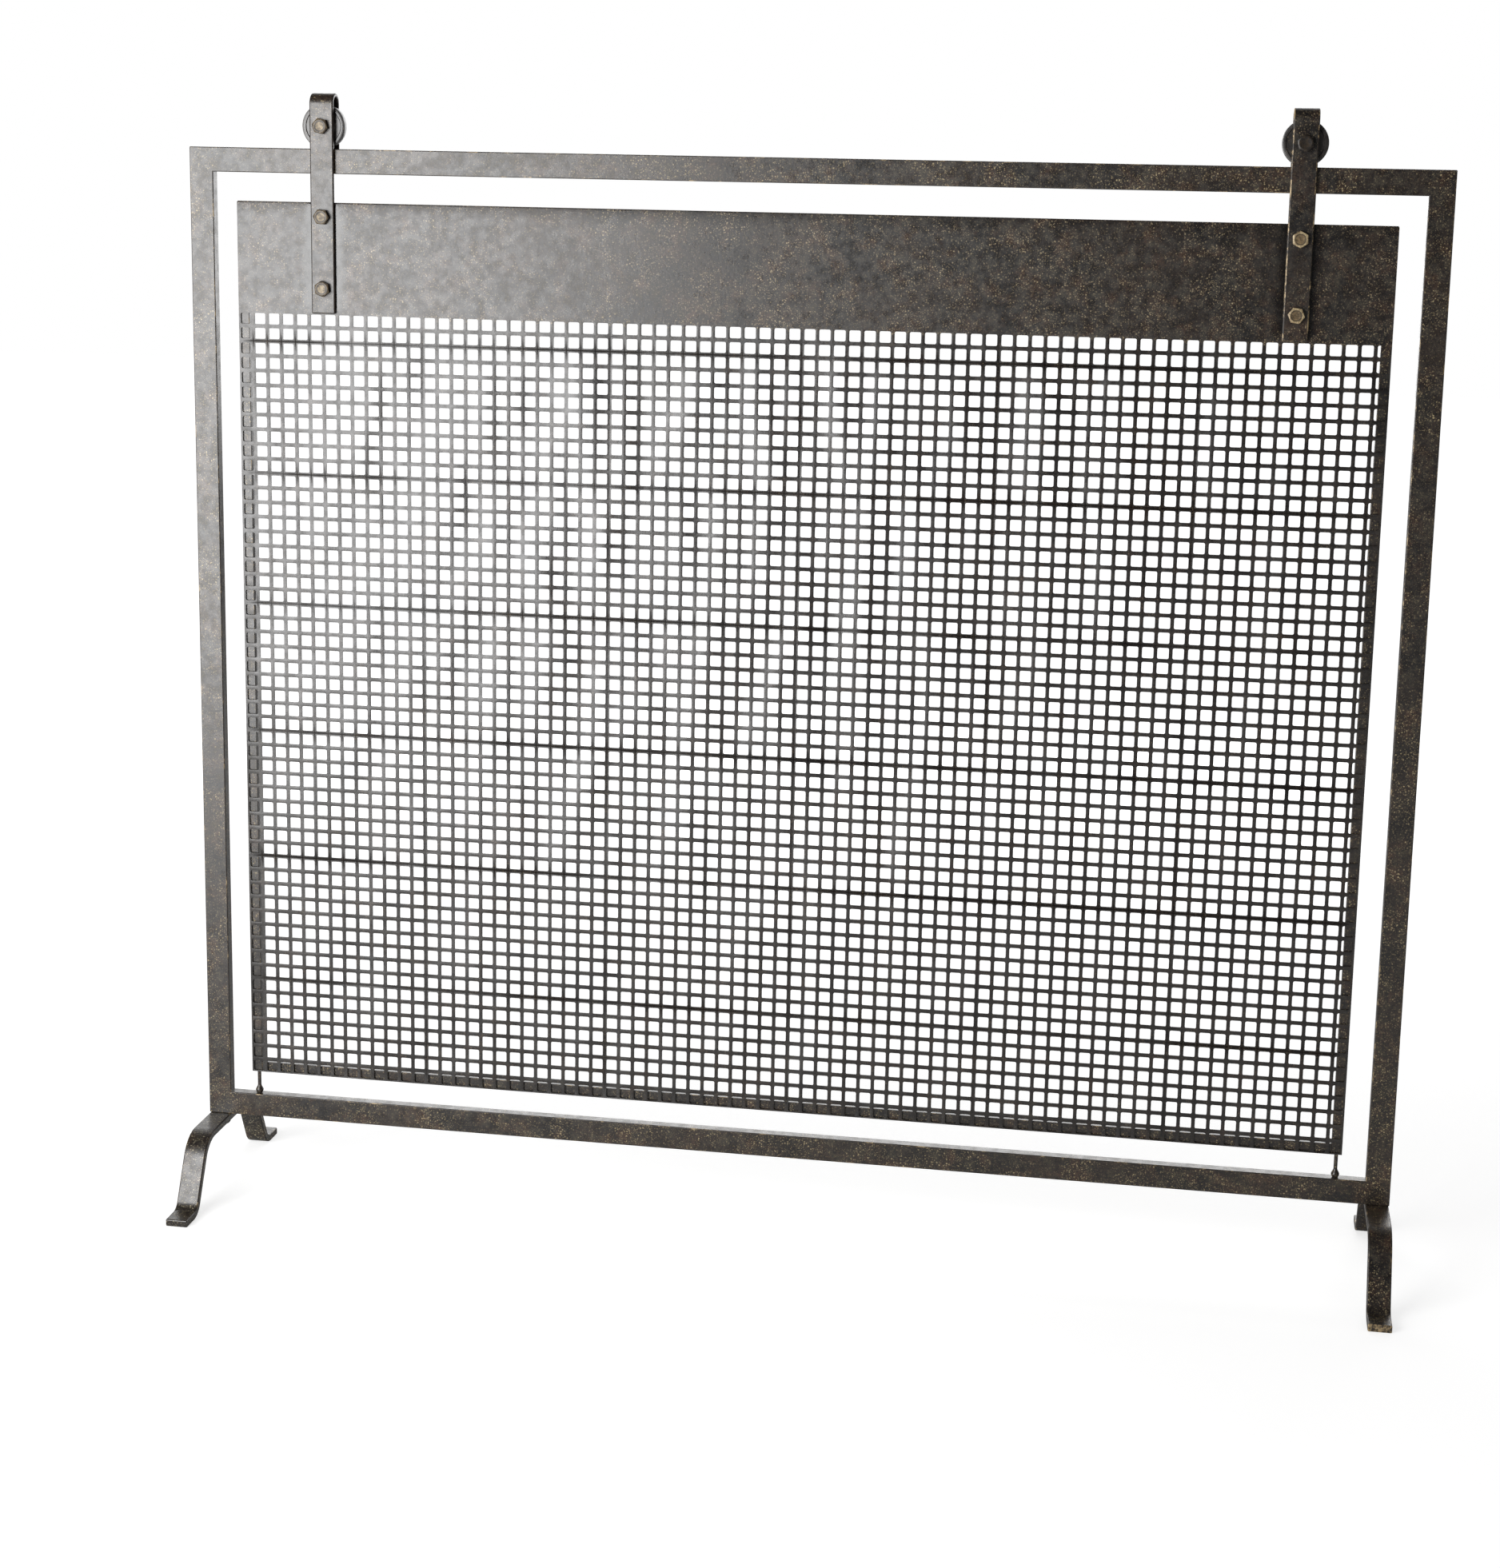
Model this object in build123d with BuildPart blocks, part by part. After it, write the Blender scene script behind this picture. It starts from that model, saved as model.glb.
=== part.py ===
from build123d import *

import os

# Frame of welded flat bar, in millimetres
frame_width = 965.0
frame_height = 795.0
bar_face = 19.0
bar_depth = 9.5

# Bowed leg under each post, given by its centre line
leg_height = 59.5
leg_reach = 107.0
leg_width = 18.0
leg_thickness = 6.0
leg_shoulder = 56.0
leg_ankle = 83.0
shoulder_radius = 25.0
ankle_radius = 13.0
toe_radius = 1.2

# Hanging panel of punched sheet on square bars
panel_side_gap = 19.5
panel_top_gap = 22.0
panel_bottom_gap = 20.4
sheet_thickness = 1.5
header_height = 87.0
header_corner = 2.0
rim_size = 8.0
window_pitch = 46.5
window_bar = 2.5

# Hanger straps bent over the rollers
strap_width = 19.0
strap_thickness = 3.0
strap_clearance = 0.75
strap_inset = 109.0
strap_rise = 42.4
strap_back_drop = 12.0
strap_lap = 86.0
upper_bolt_drop = 11.0
lower_bolt_drop = 66.5

# Hex bolts and nuts
bolt_diameter = 6.0
head_flats = 11.0
head_height = 4.2
head_chamfer = 0.6
nut_height = 5.0
bolt_end = 1.5
bolt_play = 0.4
thread_clearance = 0.05
tap_depth = 22.0
tap_spare = 2.0

# Rollers on the top rail
wheel_diameter = 34.0
wheel_width = 6.5
wheel_chamfer = 0.8
rail_gap = 0.3
bush_diameter = 11.0
bush_proud = 0.5
bush_clearance = 0.05
press_clearance = 0.02
end_play = 0.1
spacer_diameter = 10.0

# Guide pins under the panel, each with a teardrop glide
pin_diameter = 3.0
glide_diameter = 6.5
glide_base_diameter = 5.0
glide_height = 7.0
glide_belly = 2.2

# Levels and places that follow from the sizes above
rail_top = leg_height + frame_height
rail_length = frame_width - 2 * bar_face
post_x = (frame_width - bar_face) / 2
panel_width = rail_length - 2 * panel_side_gap
panel_top = rail_top - bar_face - panel_top_gap
panel_bottom = leg_height + bar_face + panel_bottom_gap
panel_height = panel_top - panel_bottom
panel_middle = (panel_top + panel_bottom) / 2
strap_inner = bar_depth / 2 + strap_clearance
strap_outer = strap_inner + strap_thickness
strap_x = frame_width / 2 - strap_inset
sheet_front = -strap_inner
sheet_back = sheet_front + sheet_thickness
rim_middle = sheet_back + rim_size / 2
stile_x = (panel_width - rim_size) / 2
axle_z = rail_top + rail_gap + wheel_diameter / 2
bush_length = wheel_width + 2 * bush_proud
bolt_hole_radius = (bolt_diameter + bolt_play) / 2
thread_radius = bolt_diameter / 2 + thread_clearance
hanger_bolt_points = [
    (side * strap_x, panel_top - drop)
    for side in (-1, 1)
    for drop in (upper_bolt_drop, lower_bolt_drop)
]
axle_points = [(side * strap_x, axle_z) for side in (-1, 1)]
leg_bolt_points = [(side * post_x, 0) for side in (-1, 1)]
sides = {"left": -1, "right": 1}

os.makedirs("parts", exist_ok=True)


def front_plane(y):
    """Plane facing the viewer at depth y, with X to the right and Z up."""
    return Plane.XZ.offset(-y)


def finish(piece, name):
    """Label one finished piece and write it."""
    piece.part.label = name
    export_step(piece.part, f"parts/{name}.step")


# Posts, with a tapped hole in the foot for the leg bolt
for name, side in sides.items():
    with BuildPart() as post:
        with Locations((side * post_x, 0, leg_height)):
            Box(
                bar_face,
                bar_depth,
                frame_height,
                align=(Align.CENTER, Align.CENTER, Align.MIN),
            )
        with BuildSketch(Plane.XY.offset(leg_height)):
            with Locations((side * post_x, 0)):
                Circle(thread_radius)
        extrude(amount=tap_depth, mode=Mode.SUBTRACT)
    finish(post, f"{name}_post")

# Rails between the posts
for name, level in {"top_rail": rail_top - bar_face, "bottom_rail": leg_height}.items():
    with BuildPart() as rail:
        with Locations((0, 0, level)):
            Box(
                rail_length,
                bar_depth,
                bar_face,
                align=(Align.CENTER, Align.CENTER, Align.MIN),
            )
    finish(rail, name)

# Legs: one bowed bar from the front toe over the bolt to the back toe
toe_level = leg_thickness / 2
crown_level = leg_height - leg_thickness / 2
for name, side in sides.items():
    with BuildPart() as leg:
        with BuildSketch(Plane.YZ.offset(side * post_x)) as leg_section:
            with BuildLine():
                FilletPolyline(
                    (-leg_reach, toe_level),
                    (-leg_ankle, toe_level),
                    (-leg_shoulder, crown_level),
                    (leg_shoulder, crown_level),
                    (leg_ankle, toe_level),
                    (leg_reach, toe_level),
                    radius=(ankle_radius, shoulder_radius, shoulder_radius, ankle_radius),
                )
            trace(line_width=leg_thickness)
            toe_corners = leg_section.vertices().group_by(Axis.X)
            fillet(toe_corners[0] + toe_corners[-1], toe_radius)
        extrude(amount=leg_width / 2, both=True)
        with BuildSketch(Plane.XY.offset(leg_height)):
            with Locations((side * post_x, 0)):
                Circle(bolt_hole_radius)
        extrude(amount=-leg_thickness, mode=Mode.SUBTRACT)
    finish(leg, f"{name}_leg")

# Leg bolts, screwed up into the posts
with BuildPart() as leg_bolts:
    with BuildSketch(Plane.XY.offset(leg_height - leg_thickness)):
        with Locations(*leg_bolt_points):
            RegularPolygon(head_flats / 2, 6, major_radius=False)
    extrude(amount=-head_height)
    chamfer(leg_bolts.faces().group_by(Axis.Z)[0].edges(), head_chamfer)
    with BuildSketch(Plane.XY.offset(leg_height - leg_thickness)):
        with Locations(*leg_bolt_points):
            Circle(bolt_diameter / 2)
    extrude(amount=leg_thickness + tap_depth - tap_spare)
finish(leg_bolts, "leg_bolts")

# Punched sheet with its plain header band, the field drawn as even windows
field_width = panel_width - 2 * rim_size
field_height = panel_height - header_height - rim_size
window_columns = round(field_width / window_pitch)
window_rows = round(field_height / window_pitch)
column_pitch = (field_width + window_bar) / window_columns
row_pitch = (field_height + window_bar) / window_rows
field_middle = panel_bottom + rim_size + field_height / 2
with BuildPart() as panel_sheet:
    with BuildSketch(front_plane(sheet_front)) as sheet_outline:
        with Locations((0, panel_middle)):
            Rectangle(panel_width, panel_height)
        fillet(sheet_outline.vertices().group_by(Axis.Y)[-1], header_corner)
        with Locations((0, field_middle)):
            with GridLocations(column_pitch, row_pitch, window_columns, window_rows):
                Rectangle(column_pitch - window_bar, row_pitch - window_bar, mode=Mode.SUBTRACT)
        with Locations(*hanger_bolt_points):
            Circle(bolt_hole_radius, mode=Mode.SUBTRACT)
    extrude(amount=-sheet_thickness)
finish(panel_sheet, "panel_sheet")

# Stiles and bottom bar behind the sheet
for name, side in sides.items():
    with BuildPart() as stile:
        with Locations((side * stile_x, rim_middle, panel_bottom)):
            Box(
                rim_size,
                rim_size,
                panel_height - header_corner,
                align=(Align.CENTER, Align.CENTER, Align.MIN),
            )
    finish(stile, f"{name}_stile")

with BuildPart() as bottom_bar:
    with Locations((0, rim_middle, panel_bottom)):
        Box(
            field_width,
            rim_size,
            rim_size,
            align=(Align.CENTER, Align.CENTER, Align.MIN),
        )
finish(bottom_bar, "bottom_bar")

# Hangers: a long front leg, a bend over the roller and a short back leg
strap_line = strap_inner + strap_thickness / 2
bend_level = rail_top + strap_rise - strap_outer
for name, side in sides.items():
    with BuildPart() as hanger:
        with BuildSketch(Plane.YZ.offset(side * strap_x)):
            with BuildLine():
                Line((-strap_line, panel_top - strap_lap), (-strap_line, bend_level))
                CenterArc((0, bend_level), strap_line, 180, -180)
                Line((strap_line, bend_level), (strap_line, rail_top - strap_back_drop))
            trace(line_width=strap_thickness)
        extrude(amount=strap_width / 2, both=True)
        with BuildSketch(front_plane(-strap_outer)):
            with Locations(*hanger_bolt_points):
                Circle(bolt_hole_radius)
        extrude(amount=-strap_thickness, mode=Mode.SUBTRACT)
        with BuildSketch(front_plane(-strap_outer)):
            with Locations(*axle_points):
                Circle(bolt_hole_radius)
        extrude(amount=-2 * strap_outer, mode=Mode.SUBTRACT)
    finish(hanger, f"{name}_hanger")


def hex_bolts(points, head_face, shank_end):
    """Bolts along Y at the given points, heads in front of head_face, shanks to shank_end."""
    with BuildPart() as bolts:
        with BuildSketch(front_plane(head_face)):
            with Locations(*points):
                RegularPolygon(head_flats / 2, 6, major_radius=False)
        extrude(amount=head_height)
        chamfer(bolts.faces().group_by(Axis.Y)[0].edges(), head_chamfer)
        with BuildSketch(front_plane(head_face)):
            with Locations(*points):
                Circle(bolt_diameter / 2)
        extrude(amount=head_face - shank_end)
    return bolts


def hex_nuts(points, seat):
    """Nuts along Y at the given points, seated at depth seat."""
    with BuildPart() as nuts:
        with BuildSketch(front_plane(seat)):
            with Locations(*points):
                RegularPolygon(head_flats / 2, 6, major_radius=False)
                Circle(thread_radius, mode=Mode.SUBTRACT)
        extrude(amount=-nut_height)
    return nuts


# Bolts and nuts that hold the hangers to the header band
hanger_bolts = hex_bolts(hanger_bolt_points, -strap_outer, sheet_back + nut_height + bolt_end)
finish(hanger_bolts, "hanger_bolts")
hanger_nuts = hex_nuts(hanger_bolt_points, sheet_back)
finish(hanger_nuts, "hanger_nuts")

# Axle bolts through the hangers, with their nuts behind
axle_bolts = hex_bolts(axle_points, -strap_outer, strap_outer + nut_height + bolt_end)
finish(axle_bolts, "axle_bolts")
axle_nuts = hex_nuts(axle_points, strap_outer)
finish(axle_nuts, "axle_nuts")

# Spacers that keep each wheel in the middle of its hanger
spacer_length = strap_inner - bush_length / 2 - end_play
with BuildPart() as axle_spacers:
    for start in (-strap_inner, strap_inner - spacer_length):
        with BuildSketch(front_plane(start)):
            with Locations(*axle_points):
                Circle(spacer_diameter / 2)
                Circle(thread_radius, mode=Mode.SUBTRACT)
        extrude(amount=-spacer_length)
finish(axle_spacers, "axle_spacers")

# Wheels and the bushes pressed into them
for name, side in sides.items():
    with BuildPart() as wheel:
        with BuildSketch(front_plane(-wheel_width / 2)):
            with Locations((side * strap_x, axle_z)):
                Circle(wheel_diameter / 2)
                Circle(bush_diameter / 2 + press_clearance, mode=Mode.SUBTRACT)
        extrude(amount=-wheel_width)
        tread_rims = wheel.edges().filter_by(GeomType.CIRCLE).group_by(SortBy.RADIUS)[-1]
        chamfer(tread_rims, wheel_chamfer)
    finish(wheel, f"{name}_wheel")

    with BuildPart() as bush:
        with BuildSketch(front_plane(-bush_length / 2)):
            with Locations((side * strap_x, axle_z)):
                Circle(bush_diameter / 2)
                Circle(bolt_diameter / 2 + bush_clearance, mode=Mode.SUBTRACT)
        extrude(amount=-bush_length)
    finish(bush, f"{name}_bush")

# Guide pins under the stiles, their glides just clear of the bottom rail
glide_foot = leg_height + bar_face + rail_gap
glide_top = glide_foot + glide_height
with BuildPart() as guide_pins:
    for side in sides.values():
        with BuildSketch(Plane.XZ.offset(-rim_middle).shift_origin((side * stile_x, rim_middle, 0))):
            with BuildLine():
                Polyline(
                    (pin_diameter / 2, glide_top),
                    (pin_diameter / 2, panel_bottom),
                    (0, panel_bottom),
                    (0, glide_foot),
                    (glide_base_diameter / 2, glide_foot),
                    (glide_diameter / 2, glide_foot + glide_belly),
                    (pin_diameter / 2, glide_top),
                )
            make_face()
        revolve(axis=Axis((side * stile_x, rim_middle, 0), (0, 0, 1)))
finish(guide_pins, "guide_pins")
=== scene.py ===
"""Looks of the fireplace screen: a punched steel panel that hangs on two rollers in a welded bar frame.

Everything is in metres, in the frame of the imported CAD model: +X to the right, +Y to the back, +Z up.
"""

import math

import bmesh
import bpy
from mathutils import Matrix, Vector


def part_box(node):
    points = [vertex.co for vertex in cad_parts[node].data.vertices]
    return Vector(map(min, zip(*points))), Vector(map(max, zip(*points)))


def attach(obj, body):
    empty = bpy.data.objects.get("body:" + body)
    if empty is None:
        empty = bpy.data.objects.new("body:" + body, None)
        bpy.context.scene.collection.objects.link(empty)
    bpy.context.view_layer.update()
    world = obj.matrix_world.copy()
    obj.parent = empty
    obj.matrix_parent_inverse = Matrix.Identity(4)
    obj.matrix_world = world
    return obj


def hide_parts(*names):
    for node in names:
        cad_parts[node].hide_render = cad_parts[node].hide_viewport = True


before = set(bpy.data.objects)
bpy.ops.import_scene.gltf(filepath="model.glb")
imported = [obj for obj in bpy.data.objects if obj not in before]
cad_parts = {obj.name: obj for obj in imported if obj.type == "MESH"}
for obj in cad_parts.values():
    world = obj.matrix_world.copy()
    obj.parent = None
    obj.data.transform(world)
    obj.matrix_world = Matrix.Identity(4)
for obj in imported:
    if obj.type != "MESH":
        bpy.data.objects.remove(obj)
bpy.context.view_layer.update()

SIDES = ("left", "right")
TO_FRONT = Vector((0, -1, 0))
MM = 0.001

# Punched sheet
HOLE_COLUMNS = 77
HOLE_ROWS = 54
HOLE_SIZE = 8.65 * MM
HOLE_CORNER = 1.1 * MM
HOLE_BREAKOUT = 0.25 * MM
SHEET_SIDE_MARGIN = 1.5 * MM
SHEET_BOTTOM_MARGIN = 1.0 * MM
HEADER_HEIGHT = 87 * MM
HEADER_RIM = 1.4 * MM
HEADER_CORNER = 1.2 * MM
HEADER_ROLL = 0.45 * MM
HEADER_STRIPS = 6
HEADER_ARC_STEPS = 4
PUNCH_COLUMNS = 13
PUNCH_ROWS = 9
PUNCH_ROWS_AT_TOP = 2
PUNCH_SEAM_EXTRA = 0.3 * MM
PUNCH_SEAM_DEPTH = 0.35 * MM
COLUMN_CREASE = 0.6
BAR_CROWN = 0.12 * MM
# Width of the painted shadow beside each strap
STRAP_SHADOW_BAND = 11 * MM
UV_MARGIN = 0.006
UV_WALL = 0.72
UV_EDGE = 0.003

# Rounded edges of bars and straps
BAR_EDGE = 0.7 * MM
STRAP_EDGE = 1.1 * MM
LEG_EDGE = 1.0 * MM
THIN_EDGE = 0.4 * MM
TOE_END = 3 * MM
EDGE_SEGMENTS = 3
ROUND_PROFILE = 0.5
SHARP_ANGLE = math.radians(35)
SHADE_ANGLE = math.radians(38)
FLAT_ANGLE = math.radians(0.5)
NEARBY = 0.05 * MM
SAME_PLACE = 0.005 * MM

# Bolts and nuts
HEX_FLATS = 11 * MM
THREAD_RADIUS = 3 * MM
THREAD_PITCH = 1 * MM
THREAD_DEPTH = 0.45 * MM
THREADED_LENGTH = 8 * MM
# One turn of the thread, from root to root, as shares of the pitch and of the depth
THREAD_TURN = ((0.2, 0.0), (0.55, 1.0), (0.7, 1.0), (1.0, 0.0))
BOLT_TIP = 0.85
WASHER_FACE = 0.3 * MM
HEAD_CIRCLE = 0.90
HEAD_RIM = 0.78
HEAD_DISH = 0.60
HEAD_DISH_DEPTH = 0.25 * MM
HEAD_DISH_RIM = 0.8
HEAD_SLOPE = math.tan(math.radians(30))
HEX_SEGMENTS = 48
# Materials of the head's last four rings: cone and rim, the slope into the dish, the dish
HEAD_MATERIALS = [1, 1, 0, 2]
NUT_BORE = 1.01
NUT_SINK = 1.16
# Turns of the upper, lower and axle bolts in radians, as a spanner leaves them
BOLT_SPINS = {"left": (0.45, 0.1, 0.3), "right": (0.05, 0.38, 0.2)}

# Wheels and guide pins
ROUND_SEGMENTS = 96
RIM_ROUND = 0.7 * MM
RIM_BREAK = 0.3
RIM_INNER = 14.2 * MM
WEB_OUTER = 13.6 * MM
WEB_INNER = 9.2 * MM
HUB_OUTER = 8.6 * MM
WEB_DEPTH = 0.5 * MM
PIN_RADIUS = 1.5 * MM
DROP_RADIUS = 3.25 * MM
DROP_BASE = 2.5 * MM
DROP_FOOT = 0.8
DROP_FOOT_HEIGHT = 0.2 * MM
DROP_BELLY = 2.2 * MM
DROP_HEIGHT = 7 * MM
DROP_STEPS = 10
PIN_SEGMENTS = 32

# Paint: its patterns in cells per metre, its flecks, gloss, roughness and relief
CLOUDS = 17
MOTTLE = 60
STAINS = 130
GRAIN = 420
FLECK_PATCHES = 30
COARSE_FLECKS = 520
FINE_FLECKS = 1000
FLECK_SIZE = 0.42
FLECK_SHARE = 0.85
FLECK_RELIEF = 0.15
FLECKS_BETWEEN = 0.2
SPOT_RAGGED = 0.6
SPOT_RAGGED_CELLS = 1.8
PAINT_GLOSS = 0.8
PAINT_SMOOTH = 0.26
PAINT_DULL = 0.41
PAINT_RELIEF = 0.06 * MM

# Finishes of the other metals, in the same units
WALL_GRAIN = 900
WALL_RELIEF = 0.05 * MM
EDGE_PATCHES = 95
TOE_PATCHES = 300
EDGE_GRAIN = 520
EDGE_RELIEF = 0.04 * MM
BOLT_PATCHES = 380
BOLT_GRAIN = 1100
WHEEL_CLOUDS = 110
WHEEL_SPECKS = 620
BRASS_PATCHES = 260
BRASS_GRAIN = 1300
FINE_RELIEF = 0.03 * MM

# Dents of the punched field in cells per metre, which the waves have along X, Y and Z.
# Their heights are in units of the paint's relief.
WAVES = (22, 1, 9)
WAVE_HEIGHT = 100.0
WAVE_FADE = 50 * MM
DENTS = 55
DENT_HEIGHT = 5.0

# Paint of the sheet where it is punched, in the painted shadow beside the straps, and in the painted shade
# of its creases
PUNCHED_SOOT = 0.6
PUNCHED_FLECKS = 0.2
STRAP_POLISH = 0.14
CREASE_SHADE_PATCHES = 9
CREASE_SHADE_LEAST = 0.45
CREASE_SHADE_DARKNESS = 0.6
CREASE_GLOSS = 0.05

# Studio
FLOOR_REACH = 8.0
FLOOR_CLOUDS = 3
FLOOR_ROUGH = 0.9
LIFT_NEAR = 0.9
LIFT_FAR = 2.6
LIFT_LEAST = 0.66
LIFT_MOST = 0.92
# In mirrored light the dim room ends, and the white behind begins, at these Y parts of a direction
ROOM_EDGE = 0.35
WINDOW_EDGE = 0.75
KEY_SOFTBOX = {
    "place": (-1.06, -1.55, 0.7),
    "target": (-0.05, 0.0, 0.6),
    "width": 1.2,
    "height": 1.35,
    "brightness": 7.7,
}
BACK_SOFTBOX = {
    "place": (0.0, 1.9, 1.0),
    "target": (0.0, 0.0, 0.4),
    "width": 2.4,
    "height": 1.2,
    "brightness": 2.2,
}

# Photograph and camera
PHOTO_WIDTH = 1876
PHOTO_HEIGHT = 1961
FOCAL_PIXELS = 3351.7
OPTICAL_CENTRE = (938, 820)
SENSOR_SIZE = 36
CAMERA_PLACE = Vector((0.3112, -2.0339, 0.8645))
CAMERA_TURN = math.radians(9.557)
CAMERA_DIP = math.radians(10.82)
CAMERA_ROLL = math.radians(1.022)


def colour(red, green, blue):
    """A shader colour from the 0 to 255 values that a picture shows."""
    shown = [value / 255 for value in (red, green, blue)]
    linear = [v / 12.92 if v <= 0.04045 else ((v + 0.055) / 1.055) ** 2.4 for v in shown]
    return (*linear, 1.0)


class Nodes:
    """Short calls for the shader nodes that the finishes and the studio share."""

    MIX_SHARE = 0
    MIX_FIRST = 6
    MIX_SECOND = 7
    MIX_RESULT = 2

    def __init__(self, tree):
        self.tree = tree

    def add(self, kind, **settings):
        node = self.tree.nodes.new(kind)
        for key, value in settings.items():
            setattr(node, key, value)
        return node

    def feed(self, socket, value):
        """Links a socket to another node's output, or gives it a plain value."""
        if isinstance(value, bpy.types.NodeSocket):
            self.tree.links.new(value, socket)
        else:
            socket.default_value = value

    def band(self, value, low, high, bottom=0.0, top=1.0):
        """Runs smoothly from bottom to top as the value goes from low to high."""
        node = self.add("ShaderNodeMapRange", interpolation_type="SMOOTHSTEP")
        self.feed(node.inputs["Value"], value)
        node.inputs["From Min"].default_value = low
        node.inputs["From Max"].default_value = high
        node.inputs["To Min"].default_value = bottom
        node.inputs["To Max"].default_value = top
        return node.outputs["Result"]

    def maths(self, operation, first, second=0.0):
        node = self.add("ShaderNodeMath", operation=operation)
        self.feed(node.inputs[0], first)
        self.feed(node.inputs[1], second)
        return node.outputs[0]

    def mix(self, share, first, second):
        node = self.add("ShaderNodeMix", data_type="RGBA")
        self.feed(node.inputs[self.MIX_SHARE], share)
        self.feed(node.inputs[self.MIX_FIRST], first)
        self.feed(node.inputs[self.MIX_SECOND], second)
        return node.outputs[self.MIX_RESULT]

    def axes(self, vector):
        node = self.add("ShaderNodeSeparateXYZ")
        self.feed(node.inputs["Vector"], vector)
        return node.outputs

    def length(self, vector):
        node = self.add("ShaderNodeVectorMath", operation="LENGTH")
        self.feed(node.inputs[0], vector)
        return node.outputs["Value"]


class Finish(Nodes):
    """A material around one Principled shader."""

    def __init__(self, name):
        self.material = bpy.data.materials.new(name)
        self.material.use_nodes = True
        super().__init__(self.material.node_tree)
        self.shader = self.tree.nodes["Principled BSDF"]
        self.place = self.add("ShaderNodeTexCoord").outputs["Object"]

    def stretched(self, scale):
        """The place of a point, scaled along each axis."""
        node = self.add("ShaderNodeMapping")
        self.feed(node.inputs["Vector"], self.place)
        node.inputs["Scale"].default_value = scale
        return node.outputs["Vector"]

    def noise(self, per_metre, detail=2.0, roughness=0.5, place=None):
        """Soft clouds with so many cells per metre. Their values lie around 0.5."""
        node = self.add("ShaderNodeTexNoise")
        self.feed(node.inputs["Vector"], place or self.place)
        node.inputs["Scale"].default_value = per_metre
        node.inputs["Detail"].default_value = detail
        node.inputs["Roughness"].default_value = roughness
        return node.outputs["Fac"]

    def dots(self, per_metre, size, share):
        """Ragged spots of uneven strength in a share of a loose grid's cells. Size is a part of a cell."""
        node = self.add("ShaderNodeTexVoronoi")
        self.feed(node.inputs["Vector"], self.place)
        node.inputs["Scale"].default_value = per_metre
        ragged = self.maths("MULTIPLY", self.noise(per_metre * SPOT_RAGGED_CELLS), SPOT_RAGGED)
        reach = self.maths("ADD", node.outputs["Distance"], ragged)
        outer = size + SPOT_RAGGED / 2
        spot = self.band(reach, outer / 2, outer, bottom=1.0, top=0.0)
        lot = self.axes(node.outputs["Color"])["X"]
        return self.maths("MULTIPLY", spot, self.band(lot, 1 - share, 1.0))

    def attribute(self, name):
        """A value that the mesh holds for each point."""
        return self.add("ShaderNodeAttribute", attribute_name=name).outputs["Fac"]

    def bump(self, height, depth):
        """Raises the surface by the height times the depth."""
        node = self.add("ShaderNodeBump")
        self.feed(node.inputs["Height"], height)
        node.inputs["Distance"].default_value = depth
        self.feed(self.shader.inputs["Normal"], node.outputs["Normal"])

    def wear(self, base, rough, metallic=0.0, gloss=0.5):
        """Gives the shader its colour, roughness and plain values."""
        self.feed(self.shader.inputs["Base Color"], base)
        self.feed(self.shader.inputs["Roughness"], rough)
        self.shader.inputs["Metallic"].default_value = metallic
        self.feed(self.shader.inputs["Specular IOR Level"], gloss)


SOOT = colour(20, 17, 16)
NEAR_BLACK = colour(24, 21, 20)
DARK_BROWN = colour(48, 39, 33)
RUST = colour(74, 54, 41)
FLECK_GOLD = colour(184, 166, 126)
FLECK_TAN = colour(174, 156, 122)
OLIVE = colour(60, 53, 38)
LIT_FLECK_CREAM = colour(214, 202, 168)
EDGE_BROWN = colour(34, 29, 26)
EDGE_TAN = colour(60, 50, 40)
RUBBED_GOLD = colour(182, 158, 118)
BOLT_DARK = colour(30, 26, 23)
BOLT_BROWN = colour(62, 52, 41)
RIM_BROWN = colour(66, 57, 45)
RIM_TAN = colour(104, 90, 69)
FACE_BROWN = colour(86, 74, 57)
FACE_TAN = colour(140, 124, 96)
GILT_BROWN = colour(92, 77, 55)
GILT_TAN = colour(138, 117, 86)
HIGHLIT_GILT_GOLD = colour(206, 186, 145)
WHEEL_DARK = colour(36, 33, 32)
WHEEL_GREY = colour(60, 55, 51)
WHEEL_SPECK = colour(150, 132, 104)
BRASS = colour(168, 132, 70)
BRASS_TARNISH = colour(104, 78, 44)
FLOOR_PALE = colour(205, 205, 204)
FLOOR_PALER = colour(211, 211, 210)
ROOM_DARK = (0.04, 0.04, 0.042, 1.0)
ROOM_LIGHT = (0.26, 0.26, 0.265, 1.0)
WHITE = (1.0, 1.0, 1.0, 1.0)


def painted_strap_shadow(f):
    """How near a point of the header's front lies to a strap: 1 at its edge, 0 beyond the band of painted
    shadow.
    """
    strap_low, strap_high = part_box("right_hanger")
    middle = (strap_low.x + strap_high.x) / 2
    half = (strap_high.x - strap_low.x) / 2
    sheet_low, sheet_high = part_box("panel_sheet")
    header_low = sheet_high.z - HEADER_HEIGHT
    axes = f.axes(f.place)
    in_front = f.band(axes["Y"], sheet_low.y, sheet_high.y, bottom=1.0, top=0.0)
    across = f.maths("ABSOLUTE", f.maths("SUBTRACT", f.maths("ABSOLUTE", axes["X"]), middle))
    near = f.maths("MULTIPLY", in_front, f.band(across, half, half + STRAP_SHADOW_BAND, bottom=1.0, top=0.0))
    return f.maths("MULTIPLY", near, f.band(axes["Z"], header_low, header_low + STRAP_SHADOW_BAND))


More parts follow.
